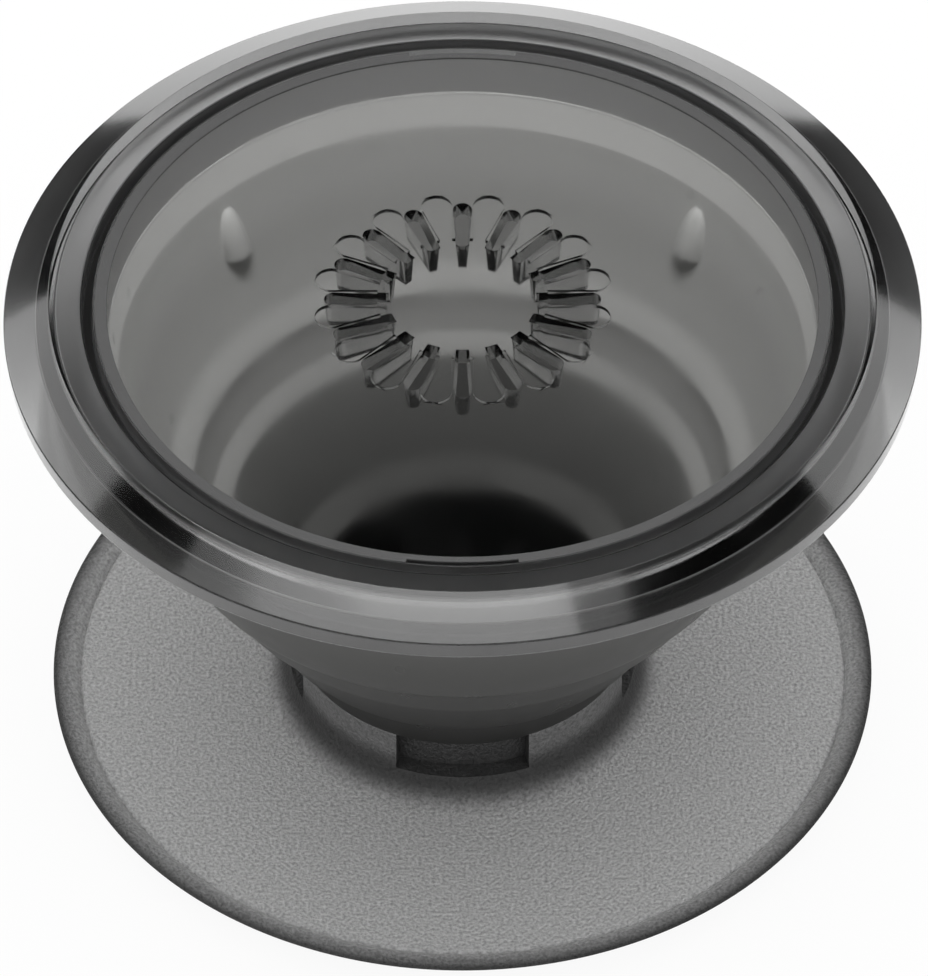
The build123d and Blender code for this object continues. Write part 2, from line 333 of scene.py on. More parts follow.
def rounded_section(corners, closed=False, steps=6, guard=0.02 * MM):
    """A section line (r, z) through corners (r, z, radius).

    A corner with a radius gives way to the arc that touches both its sides: its centre lies on the bisector at
    radius / sin(half angle), and its points turn evenly from one foot to the other. A guard point beyond each end
    of the arc keeps the flats flat under smooth shading.
    """
    table = np.array(corners, float)
    points, radii = table[:, :2], table[:, 2]
    count = len(points)
    line = []
    for k, (here, radius) in enumerate(zip(points, radii)):
        if radius == 0 or (not closed and k in (0, count - 1)):
            line.append(here[None])
            continue
        back, on = unit(points[k - 1] - here), unit(points[(k + 1) % count] - here)
        half = math.acos(np.clip(back @ on, -1, 1)) / 2
        reach = radius / math.tan(half)
        centre = here + unit(back + on) * radius / math.sin(half)
        first, last = here + back * reach - centre, here + on * reach - centre
        arc = arc_points(centre, first, last, math.pi - 2 * half, np.linspace(0, 1, steps + 1))
        line += [(here + back * (reach + guard))[None], arc, (here + on * (reach + guard))[None]]
    return np.concatenate(line)


def arc_through(start, middle, end, shares):
    """Points of the circle through three points, at shares of the way from start to end by angle.

    The centre is as far from each point: 2 (p - start) . centre = p . p - start . start for the other two.
    """
    start, others = np.array(start), np.array([middle, end])
    centre = np.linalg.solve(2 * (others - start), (others**2).sum(axis=1) - start @ start)
    first, last = start - centre, others[1] - centre
    turn = math.acos(np.clip(unit(first) @ unit(last), -1, 1))
    return arc_points(centre, first, last, turn, shares)


def full_circle(columns):
    """Even angles all round the axis."""
    return np.linspace(0, 2 * math.pi, columns, endpoint=False)


def polar_grid(r, z, angle):
    """Grid points x = r cos(angle), y = r sin(angle), z, from arrays that broadcast to rows by columns."""
    r, z, angle = np.broadcast_arrays(r, z, angle)
    return np.stack([r * np.cos(angle), r * np.sin(angle), z], axis=-1)


def mirrored_sectors(half_lines, turn, sign):
    """Rows of columns all round the axis, from each row's lines between a sector's middle and its edge.

    The lines after the middle are mirrored to the other side of the sector with that sign, which is -1 for angles
    and 1 for levels, and angles step on by one turn a sector.
    """
    count = round(2 * math.pi / turn)
    sector = np.concatenate([sign * half_lines[:, :0:-1], half_lines[:, :-1]], axis=1)
    step = turn * np.arange(count) if sign < 0 else np.zeros(count)
    return (sector[:, None, :] + step[None, :, None]).reshape(len(half_lines), -1)


def add_piece(name, points, finish, closed=False, sharp=math.radians(32), weld=0.0002 * MM):
    """A mesh object from a grid of points: columns close round the axis, rows close only on a closed section.

    Rows run down the outside and back up or in below, so that row step x column step points outwards.
    """
    rows, columns = points.shape[:2]
    i, j = np.meshgrid(np.arange(rows if closed else rows - 1), np.arange(columns), indexing="ij")
    i_next, j_next = (i + 1) % rows, (j + 1) % columns
    corners = [i * columns + j, i_next * columns + j, i_next * columns + j_next, i * columns + j_next]
    faces = np.stack(corners, axis=-1).reshape(-1, 4)
    mesh = bpy.data.meshes.new(name)
    mesh.from_pydata(points.reshape(-1, 3).tolist(), [], faces.tolist())
    grid = bmesh.new()
    grid.from_mesh(mesh)
    bmesh.ops.remove_doubles(grid, verts=grid.verts, dist=weld)
    bmesh.ops.dissolve_degenerate(grid, edges=grid.edges, dist=weld / 2)
    grid.to_mesh(mesh)
    grid.free()
    mesh.shade_smooth()
    mesh.set_sharp_from_angle(angle=sharp)
    piece = bpy.data.objects.new(name, mesh)
    bpy.context.scene.collection.objects.link(piece)
    mesh.materials.append(finish)
    return piece


# Disc


def star_rows(s, plate_level):
    """Radius, angles and levels of the rows that carry the star, from outside it to the axis.

    In half a sector the lines follow the rib's lower edge, its upper edge and the petal's edge: an edge at half
    width w lies at the angle asin(w / r). The petal is the hull of its tip circle and its root, the rib is a taper
    with a round outer end, and each level steps where its outline ends.
    """
    half_turn = math.pi / s.star_count
    step, least_angle, tip_points, side_rows = 0.02 * MM, 0.002, 12, 8
    tip_x = s.petal_reach - s.petal_tip
    round_x = s.rib_outer - s.rib_outer_half
    quarter = np.linspace(0, math.pi / 2, tip_points)
    tip_r = np.hypot(tip_x + s.petal_tip * np.cos(quarter), s.petal_tip * np.sin(quarter))
    rib_end = round_x + s.rib_outer_half * np.cos(quarter)
    low_end = round_x + (s.rib_outer_half - s.rib_draft) * np.cos(quarter)
    plain = [s.petal_reach + 0.9 * MM, s.petal_reach + 0.3 * MM, s.petal_reach + step, s.rib_outer + step]
    side = np.linspace(s.petal_root + step, round_x, side_rows)
    inner = [s.petal_root, s.rib_inner + s.rib_draft, s.rib_inner, 0.7 * s.rib_inner, 0.35 * s.rib_inner, 0]
    r = np.unique(np.concatenate([plain, tip_r, rib_end, low_end, side, inner]))[::-1]

    taper = np.interp(r, [s.rib_inner, round_x], [s.rib_inner_half, s.rib_outer_half])
    past = np.clip(r - round_x, 0, None)
    rib_high = np.minimum(taper, np.sqrt(np.clip(s.rib_outer_half**2 - past**2, 0, None)))
    low_radius = s.rib_outer_half - s.rib_draft
    rib_low = np.minimum(taper - s.rib_draft, np.sqrt(np.clip(low_radius**2 - past**2, 0, None)))
    side_x = np.linspace(s.petal_root, tip_x, 20)
    outline_x = np.concatenate([side_x, tip_x + s.petal_tip * np.sin(quarter)])
    outline_y = np.concatenate(
        [np.interp(side_x, [s.petal_root, tip_x], [s.petal_root_half, s.petal_tip]), s.petal_tip * np.cos(quarter)]
    )
    petal = np.interp(r, np.hypot(outline_x, outline_y), np.arctan2(outline_y, outline_x))

    # Where an outline ends, its lines spread over the sector in even shares
    safe = np.maximum(r, s.rib_inner)
    in_rib = r <= s.rib_outer
    in_petal = r <= s.petal_reach
    high = np.where(in_rib, np.arcsin(rib_high / safe), 0.25 * half_turn)
    low = np.where(in_rib, np.arcsin(rib_low / safe), 0.15 * half_turn)
    edge = np.where(in_petal, half_turn - petal, 0.6 * half_turn)
    edge = np.maximum(edge, high + least_angle)
    edge_low = np.minimum(edge + step / safe, half_turn)
    rest = half_turn - edge_low
    lines = [0 * r, low, high, (high + edge) / 2, edge, edge_low, edge_low + rest / 3, edge_low + rest * 2 / 3]
    angles = np.stack([*lines, 0 * r + half_turn], axis=1)

    floor = plate_level + s.petal_depth
    rib_level = np.interp(
        r,
        [s.rib_inner, s.rib_inner + s.rib_draft, s.rib_outer - s.rib_draft, s.rib_outer],
        [floor, plate_level - s.rib_depth, plate_level - s.rib_depth, plate_level],
    )
    gap_level = np.where(r <= s.petal_root, floor, plate_level)
    petal_level = np.where(in_petal, floor, plate_level)
    levels = np.stack([rib_level] * 2 + [gap_level] * 3 + [petal_level] * 4, axis=1)
    turn = 2 * half_turn
    return r[:, None], mirrored_sectors(angles, turn, -1), mirrored_sectors(levels, turn, 1)


def disc_points(s):
    """Grid of the disc: its section turned round the axis from the face over the rim and skirt to the star below."""
    edge_level = FACE - s.bevel_height
    plate_level = FACE - s.plate
    rim_bottom = edge_level - s.side_height
    rim_inner = DISC_RADIUS - s.rim_width
    skirt_outer = rim_inner - s.moat
    skirt_inner = skirt_outer - s.skirt_wall
    lug_top = plate_level - s.lug_drop
    lug_bottom = lug_top - s.lug_height
    soft = s.softness
    corners = [
        (0, FACE, 0),
        (DISC_RADIUS / 2, FACE, 0),
        (DISC_RADIUS - s.bevel_width, FACE, soft),
        (DISC_RADIUS, edge_level, soft),
        (DISC_RADIUS - s.side_draft, rim_bottom, 1.5 * soft),
        (rim_inner, rim_bottom, soft),
        (rim_inner - s.rim_slope, plate_level, soft),
        (skirt_outer, plate_level, soft),
        (skirt_outer, SKIRT_BOTTOM, soft),
        (skirt_inner, SKIRT_BOTTOM, soft),
        *[(skirt_inner, level + side, 0) for level in (lug_bottom, lug_top) for side in (-HAIR, HAIR)],
        (skirt_inner, plate_level, soft),
        (DISC_RADIUS / 2, plate_level, 0),
        (DISC_RADIUS / 2 - MM, plate_level, 0),
    ]
    section = rounded_section(corners)
    r, z = section[:, :1], section[:, 1:]
    turn = 2 * math.pi / s.star_count
    even = np.tile(np.linspace(0, turn / 2, SECTOR_LINES + 1), (len(section), 1))
    angle = mirrored_sectors(even, turn, -1)
    lug_span = math.radians(16)
    off_lug = np.abs((angle + math.pi / 2) % math.pi - math.pi / 2)
    lug = (off_lug < lug_span / 2) & (np.abs(r - skirt_inner) < HAIR) & (z > lug_bottom) & (z < lug_top)
    outer = polar_grid(r - s.lug_reach * lug, z, angle)
    star_r, star_angle, star_z = star_rows(s, plate_level)
    return np.concatenate([outer, polar_grid(star_r, star_z, star_angle)])


# Lock ring


def ring_points(s):
    """Grid of the lock ring: its angle section turned round the axis, set back where a track or its entry lies."""
    outer = FLANGE_RADIUS - s.flange_reach
    inner = outer - s.wall
    track_top = RING_TOP - s.track_top
    track_bottom = track_top - s.track_height
    soft = s.softness
    corners = [
        (inner, RING_TOP, soft),
        (outer, RING_TOP, soft),
        *[(outer, level + side, 0) for level in (track_top, track_bottom) for side in (HAIR, -HAIR)],
        (outer, MOUTH + s.flange, 0),
        (FLANGE_RADIUS, MOUTH + s.flange, soft),
        (FLANGE_RADIUS, MOUTH, soft),
        (inner, MOUTH, soft),
    ]
    section = rounded_section(corners, closed=True)
    r, z = section[:, :1], section[:, 1:]
    # Two tracks, opposite each other, each with its entry at the far end
    ends = track_from, entry_from, track_to = np.radians([-8.6, 81.4, 98.6])
    ends = np.concatenate([ends, ends + math.pi])
    slit = 1e-4
    angle = np.unique(np.concatenate([full_circle(columns=256), ends - slit, ends + slit]) % (2 * math.pi))
    past = (angle - track_from) % math.pi
    on_track = past < track_to - track_from
    on_entry = on_track & (past > entry_from - track_from)
    beside = r > outer - 1.5 * soft
    set_back = beside & (z < track_top) & (z > track_bottom) & on_track
    set_back |= beside & (z >= track_top) & on_entry
    return polar_grid(r - s.track_depth * set_back, z, angle)


# Accordion


def outside_corner(before, corner, after, wall):
    """The corner of the line one wall outside: corner + (n1 + n2) * wall / (1 + n1.n2), with its sides' normals."""
    quarter_turn = np.array([[0, -1], [1, 0]])
    above, below = quarter_turn @ unit(corner - before), quarter_turn @ unit(after - corner)
    return corner + (above + below) * wall / (1 + above @ below)


def accordion_points(s, b):
    """Grid of the folding wall: its closed section turned round the axis, with four egg-shaped bumps raised on the
    first tier's inner side: height = sqrt(radius(s)^2 - w^2) - sink, at s up the wall and w across it."""
    seat = b.hub_radius + b.bead_reach + s.play
    bore = b.hub_radius + s.play
    floor_r = b.hub_radius + b.bead_reach - s.overlap
    floor_z = COLLAR_TOP + s.foot_height
    foot_r = seat + s.foot_wall
    seat_top = HUB_TOP + s.play
    seat_bottom = HUB_TOP - b.bead_height - s.play
    ring = bpy.context.scene.grip_ring
    mouth_r = ACCORDION_RADIUS - ring.flange_reach - ring.wall
    neck = np.array([mouth_r - s.mouth_run, MOUTH - s.mouth_drop])
    down = [
        (floor_r, floor_z),
        (s.floor_run, s.floor_drop),
        (s.tier_three_run, s.tier_three_drop),
        (s.ledge_two_run, s.ledge_two_drop),
        (s.tier_two_run, s.tier_two_drop),
        (s.ledge_one_run, s.ledge_one_drop),
    ]
    floor, low, third, second, first, tier_one = np.cumsum(np.array(down), axis=0)
    mouth = np.array([mouth_r, MOUTH])
    inner = [mouth, neck, tier_one, first, second, third, low, floor]
    outer = [outside_corner(*inner[k - 1 : k + 2], s.wall) for k in range(1, len(inner) - 1)]
    neck_out, tier_one_out, first_out, second_out, third_out, low_out = outer
    bow = (neck + tier_one) / 2 + np.array([s.bow, 0])
    shoulder_z = low[1] + 2 * s.shoulder
    shoulder = third_out + (low_out - third_out) * (third_out[1] - shoulder_z) / (third_out[1] - low_out[1])

    # The arcs leave out the points that lie within reach of the corner's fold
    fold = s.fold
    arc_rows, low_rows, bump_rows, last_share = 26, 14, 44, 0.93
    shares = np.linspace(0, 1, arc_rows)[1:-2]
    outer_arc = arc_through(neck_out, bow + np.array([s.wall, 0]), tier_one_out, shares)
    half = np.linalg.norm(neck - tier_one) / 2
    hair = 0.004 * MM / half / 2
    low_shares = np.linspace(0, 0.5 - hair, low_rows)[2:]
    bump_shares = 0.5 + np.linspace(0, s.bump_length / half / 2, bump_rows)
    shares = np.concatenate([low_shares, [0.5 + hair], bump_shares[1:], [last_share]])
    inner_arc = arc_through(tier_one, bow, neck, np.unique(shares))
    corners = [
        (*mouth, 0.06 * MM),
        (ACCORDION_RADIUS, ACCORDION_TOP, 0.1 * MM),
        (ACCORDION_RADIUS, ACCORDION_TOP - s.rim_band, 0.15 * MM),
        (*neck_out, fold),
        *[(*p, 0) for p in outer_arc],
        (*tier_one_out, s.corner_fold),
        *[(*p, fold) for p in (first_out, second_out, third_out, shoulder)],
        (foot_r + s.foot_flare, low[1] + s.shoulder, fold),
        (foot_r, COLLAR_TOP, 0.12 * MM),
        (bore, COLLAR_TOP, 0.05 * MM),
        (bore, seat_bottom, 0),
        (seat, seat_bottom, 0),
        (seat, seat_top, 0),
        (floor_r, seat_top, 0),
        (*floor, 0.12 * MM),
        *[(*p, fold) for p in (low, third, second, first)],
        (*tier_one, s.corner_fold),
        *[(*p, 0) for p in inner_arc],
        (*neck, fold),
    ]
    section = rounded_section(corners, closed=True)

    # Columns: close over the four bumps, and wider between them
    reach, bump_columns, gap_columns = math.radians(3.4), 41, 40
    over = np.linspace(-reach, reach, bump_columns)
    between = np.linspace(reach, math.pi / 2 - reach, gap_columns)[1:-1]
    bump_angles = np.radians([[45], [135], [225], [315]])
    angle = np.sort((bump_angles + np.concatenate([over, between])).ravel())
    rise = unit(neck - bow)
    inward = np.array([-rise[1], rise[0]])
    along = (section - bow) @ rise
    proud = (section - bow) @ inward
    across = section[:, :1] * np.sin(angle % (math.pi / 2) - math.pi / 4)
    egg = s.bump_radius**2 * (1 - np.clip(along / s.bump_length, 0, 1) ** 2)
    height = np.sqrt(np.clip(egg[:, None] - across**2, 0, None)) - s.bump_sink
    on_wall = (along > 0) & (along < s.bump_length) & (np.abs(proud) < s.wall / 2)
    height = np.where(on_wall[:, None], np.clip(height, 0, None), 0)
    return polar_grid(section[:, :1] + inward[0] * height, section[:, 1:] + inward[1] * height, angle)


# Base


def notch_half_angle(r, s):
    """Half angle of a notch at radius r: asin(half width / r), its half width growing evenly along the notch."""
    near, far = s.hub_radius - s.hub_wall, s.collar_radius + s.collar_flare
    at = np.clip(r, s.hub_radius, far)
    half = np.full_like(at, s.notch_inner)
    for _ in range(3):
        half = np.interp(np.sqrt(at**2 - half**2), [near, far], [s.notch_inner, s.notch_outer])
    return np.arcsin(half / at)


def base_points(s, star_count):
    """Grid of the base: plate, hub ribs, hub with its snap bead, flared collar with four notches, bead and groove.

    Inside the hub the columns follow the ribs' edges. Outside it they follow the notches' edges, and a notch's
    columns go down the hub and out along the notch's floor while the others go over the collar.
    """
    edge_level = PAD_TOP + s.plate
    top = edge_level - s.sink
    bore = s.hub_radius - s.hub_wall
    half_turn = math.pi / star_count
    columns = 2 * SECTOR_LINES * star_count

    # Hub ribs: the same lines as a star's, with the rib's edges at asin(half width / r)
    step = 0.04 * MM
    r = np.array([0, 0.5 * s.rib_inner, s.rib_inner, s.rib_inner + step, 0.5 * (s.rib_inner + bore), bore - 0.02 * MM])
    safe = np.maximum(r, s.rib_inner)
    low, high = np.arcsin((s.rib_half + step) / safe), np.arcsin(s.rib_half / safe)
    rest = half_turn - low
    lines = np.stack([0 * r, high / 2, high, low, *(low + rest * share for share in (0.2, 0.4, 0.6, 0.8, 1))], axis=1)
    rib_level = np.where(r > s.rib_inner, top + s.rib_height, top)
    plate_level = 0 * r + top
    levels = np.stack([rib_level] * 3 + [plate_level] * 6, axis=1)
    turn = 2 * half_turn
    star = polar_grid(r[:, None], mirrored_sectors(levels, turn, 1), mirrored_sectors(lines, turn, -1))

    # Hub tube, from inside the bore over the bead to the collar's top
    bead_bottom = HUB_TOP - s.bead_height
    bead_r = s.hub_radius + s.bead_reach
    tube = rounded_section(
        [
            (bore, top + s.rib_height + step, 0),
            (bore, HUB_TOP, 0.1 * MM),
            (bead_r - s.bead_lead, HUB_TOP, 0.06 * MM),
            (bead_r, bead_bottom, 0.04 * MM),
            (s.hub_radius, bead_bottom, 0),
            (s.hub_radius, COLLAR_TOP, 0),
        ]
    )

    # Collar, and the way down a notch, row by row: both meet on the flare at the notch's floor
    flare_x, flare_z = s.collar_radius + s.collar_flare, top + s.collar_flare - s.flare_sink
    notch_floor = COLLAR_TOP - s.notch_depth

    def flare(first_z, last_z, rows):
        sweep = np.linspace(*np.arcsin((flare_z - np.array([first_z, last_z])) / s.collar_flare), rows)
        return np.stack([flare_x - s.collar_flare * np.cos(sweep), flare_z - s.collar_flare * np.sin(sweep)], axis=1)

    lip = rounded_section(
        [(s.hub_radius, COLLAR_TOP, 0), (s.collar_radius, COLLAR_TOP, 0.15 * MM), (s.collar_radius, flare_z, 0)]
    )
    over = np.concatenate([lip, flare(flare_z, notch_floor, rows=6)[1:]])
    wall_rows = len(over) // 2
    share = np.linspace(0, 1, wall_rows)
    wall = np.stack([0 * share + s.hub_radius, COLLAR_TOP - s.notch_depth * share], axis=1)
    share = np.linspace(0, 1, len(over) - wall_rows + 1)[1:]
    sill = np.stack([s.hub_radius + (over[-1, 0] - s.hub_radius) * share, 0 * share + notch_floor], axis=1)
    foot = flare(notch_floor, top, rows=9)
    over = np.concatenate([over, foot[1:]])
    under = np.concatenate([wall, sill, foot[1:]])

    # Plate, groove, bead and underside
    groove_r, even_from, bead_rows = BASE_RADIUS - s.bead_width, 12 * MM, 20
    bead = arc_through(
        (groove_r, top),
        (BASE_RADIUS - s.bead_width / 2, edge_level + s.bead_crest),
        (BASE_RADIUS, edge_level),
        np.linspace(0, 1, bead_rows),
    )
    plate = rounded_section(
        [
            (foot[-1, 0] + 0.3 * MM, top, 0),
            (even_from, top, 0),
            (groove_r - 2 * s.groove, top, 0.03 * MM),
            (groove_r - s.groove, top - s.groove, 0),
            *[(*p, 0) for p in bead],
            (BASE_RADIUS - 0.04 * MM, edge_level - 0.03 * MM, 0),
            (BASE_RADIUS - s.undercut, PAD_TOP, 0.1 * MM),
            (0, PAD_TOP, 0),
        ],
        guard=0.01 * MM,
    )

    # Columns of the outside: notch, the two lines of its side wall, and the rest of the quarter
    inside_lines, outside_lines = 10, 22
    into = np.linspace(0, 1, inside_lines)[None, :]
    away = np.linspace(0, 1, outside_lines + 1)[None, :]
    quarter, spread_width = math.pi / 2, 3 * MM

    def quarter_lines(notch_r, collar_r):
        edge_in = notch_half_angle(notch_r, s)[:, None]
        edge_out = notch_half_angle(collar_r, s)[:, None]
        return np.concatenate([edge_in * into, edge_out + (quarter / 2 - edge_out) * away], axis=1)

    def quarters(half_notch, half_collar):
        half = np.repeat(np.stack([half_notch, half_collar], axis=1), [inside_lines, outside_lines + 1], axis=1)
        return mirrored_sectors(half, quarter, 1)

    even = np.linspace(0, quarter / 2, inside_lines + outside_lines + 1)[None, :]
    tube_lines = quarter_lines(tube[:, 0], tube[:, 0])
    collar_lines = quarter_lines(under[:, 0], over[:, 0])
    spread = np.clip((plate[:, :1] - foot[-1, 0]) / spread_width, 0, 1)
    plate_lines = quarter_lines(plate[:, 0], plate[:, 0]) * (1 - spread) + even * spread
    outside = [
        polar_grid(tube[:, :1], tube[:, 1:], mirrored_sectors(tube_lines, quarter, -1)),
        polar_grid(
            quarters(under[:, 0], over[:, 0]),
            quarters(under[:, 1], over[:, 1]),
            mirrored_sectors(collar_lines, quarter, -1),
        ),
        polar_grid(plate[:, :1], plate[:, 1:], mirrored_sectors(plate_lines, quarter, -1)),
    ]
    # A sector's columns start at its edge, so the star's are turned to start where a quarter's do
    star = np.roll(star, columns // 8 - SECTOR_LINES, axis=1)
    return np.concatenate([star, *outside])


def pad_points(s):
    """Grid of the adhesive pad: a flat disc's section with round edges, turned round the axis."""
    edge, radius = s.pad_edge, PAD_RADIUS
    corners = [(0, PAD_TOP, 0), (radius, PAD_TOP, edge), (radius, PAD_BOTTOM, edge), (0, PAD_BOTTOM, 0)]
    section = rounded_section(corners)
    return polar_grid(section[:, :1], section[:, 1:], full_circle(columns=192))


# Finishes


def smoke_polycarbonate(c, s):
    """Smoke polycarbonate, moulded in a polished tool: clear, glossy, and darker the deeper the light goes, under a
    hard coat. The moat and the skirt below the plate are frosted and uncoated."""
    tree = new_finish("smoke_polycarbonate_polished")
    # Handling marks: the gloss varies a little over a few millimetres
    gloss = tree.span(tree.noise(3 * MM, 0.0), (0.35, 0.75), (0.06, 0.12))
    rim_inner = DISC_RADIUS - s.rim_width
    inner, outer = rim_inner - s.moat - s.skirt_wall - 0.02 * MM, rim_inner - s.rim_slope + 0.05 * MM
    beside = tree.math("COMPARE", tree.radius(), (inner + outer) / 2, (outer - inner) / 2)
    below = tree.math("LESS_THAN", tree.level(), FACE - s.plate + 0.03 * MM)
    moat, frost = tree.math("MULTIPLY", beside, below), 0.25
    depth = tree.add("VolumeAbsorption", {"Color": (0.0, 0.0, 0.0, 1.0), "Density": c.clear_depth})
    surface = {
        "Base Color": tree.mix(moat, c.clear, c.moat),
        "Roughness": tree.math("MULTIPLY_ADD", moat, frost, gloss),
        "IOR": POLYCARBONATE_IOR,
        "Transmission Weight": 1.0,
        "Coat Weight": tree.math("SUBTRACT", 1.0, moat),
        "Coat Roughness": 0.08,
    }
    return tree.surface("BsdfPrincipled", surface, Volume=depth[0])


def ring_polycarbonate(c, s):
    """Smoke polycarbonate, moulded in a finely stoned tool: a satin grey inside, darker on its top, and darkest behind
    the skirt, where painted shade stands in for the skirt's shadow."""
    tree = new_finish("smoke_polycarbonate_satin")
    # Painted shade: the outer side, behind the skirt, is painted dark
    behind = tree.math("GREATER_THAN", tree.radius(), FLANGE_RADIUS - s.flange_reach - s.wall / 2)
    crest = tree.math("GREATER_THAN", tree.level(), RING_TOP - 2 * s.softness)
    grey = tree.mix(behind, c.ring, c.ring_back_painted_shade)
    surface = {
        "Base Color": tree.mix(crest, grey, c.ring_crest),
        "Roughness": tree.span(tree.noise(0.4 * MM, 3.0), to=(0.32, 0.46)),
        "IOR": POLYCARBONATE_IOR,
    }
    return tree.surface("BsdfPrincipled", surface)


def smoke_elastomer(c, s):
    """Smoke thermoplastic elastomer, moulded: a milky satin, with a painted highlight at the thin lip and painted
    shade that deepens towards the foot and darkens the outer side."""
    tree = new_finish("smoke_elastomer_satin")
    level = tree.level()
    neck_level = MOUTH - s.mouth_drop
    rise = tree.span(level, (COLLAR_TOP, neck_level))
    # Inside, painted shade and painted light: the ledges are painted paler than the tiers,
    #     and the tiers are painted darker towards the ledge above
    drops = [s.foot_height + s.floor_drop, s.tier_three_drop, s.ledge_two_drop, s.tier_two_drop, s.ledge_one_drop]
    low, third, second, first, tier_one = np.cumsum(drops)
    neck = neck_level - COLLAR_TOP
    painted_shades = [
        (low, 0.074),
        (low + 0.57 * s.tier_three_drop, 0.139),
        (third - 0.05 * MM, 0.19),
        (third + 0.05 * MM, 0.444),
        (second, 0.505),
        (second + 0.5 * s.tier_two_drop, 0.489),
        (first - 0.1 * MM, 0.311),
        (first + 0.05 * MM, 0.591),
        (tier_one, 0.654),
        ((tier_one + neck) / 2, 0.76),
    ]
    depth = tree.add("ValToRGB", {"Fac": rise})["Color"]
    for height, share in painted_shades:
        depth.node.color_ramp.elements.new(height / neck).color = (share, share, share, 1.0)
    inside = tree.mix(depth, c.soft_foot_painted_shade, c.soft)
    # Painted highlight: the lip is pale up to just below its edge, and the paleness fades out over the wall below it
    fade_depth, fade_share, margin = 3.5 * MM, 0.3, 0.05 * MM
    painted_light_fade = tree.span(level, (neck_level - fade_depth, neck_level), (0.0, fade_share))
    lip = tree.math("COMPARE", level, MOUTH - s.mouth_drop / 2 - margin, s.mouth_drop / 2 - margin)
    inside = tree.mix(lip, tree.mix(painted_light_fade, inside, c.lip), c.lip)
    # Painted shade: the outer side is painted darker, most of all towards the foot
    outer = tree.add("Attribute", attribute_name="outer_skin_painted_shade")["Fac"]
    skin = tree.mix(tree.math("POWER", rise, 2.4), c.skin_foot_painted_shade, c.skin)
    surface = {
        "Base Color": tree.mix(outer, inside, skin),
        "Roughness": tree.span(tree.noise(1.5 * MM, 1.0), to=(0.24, 0.36)),
        "IOR": 1.5,
    }
    return tree.surface("BsdfPrincipled", surface)


def spark_textured_polycarbonate(c, s):
    """Smoke polycarbonate, moulded in a spark-eroded tool: a frosted grey with a fine pebble that glints, a darker
    bead, and painted shade: a dark foot round the collar and a plain dark well inside the hub."""
    tree = new_finish("smoke_polycarbonate_textured")
    radius, level = tree.radius(), tree.level()
    pebble = tree.noise(0.15 * MM, 2.0)
    bead_from = BASE_RADIUS - s.bead_width
    edge = tree.span(radius, (bead_from + 0.1 * s.bead_width, bead_from + 0.9 * s.bead_width))
    grey = tree.mix(edge, c.base, c.base_edge)
    # Painted shade deepens round the collar's foot, where the accordion shades the base and the plate thickens,
    #     is lighter on the collar's thin wall, and is deep again inside the hub
    for value, begin, end, code in (
        (radius, s.collar_radius + 1.6 * MM, s.collar_radius + 0.2 * MM, c.foot),
        (level, COLLAR_TOP - 2.2 * MM, COLLAR_TOP - 0.9 * MM, c.collar),
        (radius, s.collar_radius - 0.02 * MM, s.collar_radius - 0.08 * MM, c.hub),
    ):
        grey = tree.mix(tree.span(value, (begin, end), steps="SMOOTHSTEP"), grey, code)
    mottle = tree.span(pebble, (0.3, 0.7), (0.68, 1.32))
    mottled = tree.mix(1.0, grey, mottle, "MULTIPLY")
    # Painted shade: the well inside the hub is painted plain dark
    well = tree.math("LESS_THAN", radius, s.hub_radius - 0.02 * MM)
    surface = {
        "Base Color": tree.mix(well, mottled, c.hub),
        "Roughness": tree.span(pebble, to=(0.3, 0.5)),
        "IOR": POLYCARBONATE_IOR,
        "Normal": tree.bump(pebble, 1.0, 0.08 * MM),
    }
    return tree.surface("BsdfPrincipled", surface)


def gel(c):
    """Grey acrylic gel, cast: dull, slightly uneven and tacky to look at."""
    tree = new_finish("adhesive_gel")
    height = tree.add("TexVoronoi", {"Vector": tree.place(), "Scale": 1 / (0.5 * MM)})["Distance"]
    surface = {
        "Base Color": linear(c.pad),
        "Roughness": tree.span(height, to=(0.32, 0.5)),
        "IOR": 1.47,
        "Normal": tree.bump(height, 0.25, 0.04 * MM),
    }
    return tree.surface("BsdfPrincipled", surface)


# Operators


class MESH_OT_grip_disc(Operator):
    """Builds the clear disc with its rim, skirt, lugs and star"""

    bl_idname = "mesh.grip_disc"
    bl_label = "Clear disc"

    def execute(self, context):
        scene = context.scene
        finish = smoke_polycarbonate(scene.grip_colours, scene.grip_disc)
        piece = add_piece("clear_disc", disc_points(scene.grip_disc), finish)
        # Clear plastic lets the light through to the inside
        hide_from(piece, "shadow")
        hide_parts("top_disc")
        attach(piece, "top")
        return {"FINISHED"}


class MESH_OT_grip_ring(Operator):
    """Builds the lock ring with its bayonet tracks"""

    bl_idname = "mesh.grip_ring"
    bl_label = "Lock ring"

    def execute(self, context):
        scene = context.scene
        finish = ring_polycarbonate(scene.grip_colours, scene.grip_ring)
        piece = add_piece("bayonet_ring", ring_points(scene.grip_ring), finish, closed=True)
        hide_from(piece, "shadow")
        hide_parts("lock_ring")
        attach(piece, "head")
        return {"FINISHED"}


class MESH_OT_grip_accordion(Operator):
    """Builds the folding wall between the hub and the ring"""

    bl_idname = "mesh.grip_accordion"
    bl_label = "Accordion"

    def execute(self, context):
        scene = context.scene
        points = accordion_points(scene.grip_accordion, scene.grip_base)
        finish = smoke_elastomer(scene.grip_colours, scene.grip_accordion)
        piece = add_piece("folding_wall", points, finish, closed=True)
        # Marks the outer side, which gets painted shade: there the normal points away from the axis
        mesh = piece.data
        place, normal = np.empty((2, len(mesh.vertices), 3), np.float32)
        mesh.vertices.foreach_get("co", place.ravel())
        mesh.vertices.foreach_get("normal", normal.ravel())
        outward = (place[:, :2] * normal[:, :2]).sum(axis=1) > 0
        skin = mesh.attributes.new("outer_skin_painted_shade", "FLOAT", "POINT")
        skin.data.foreach_set("value", outward.astype(np.float32))
        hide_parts("accordion")
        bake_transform(piece)
        return {"FINISHED"}


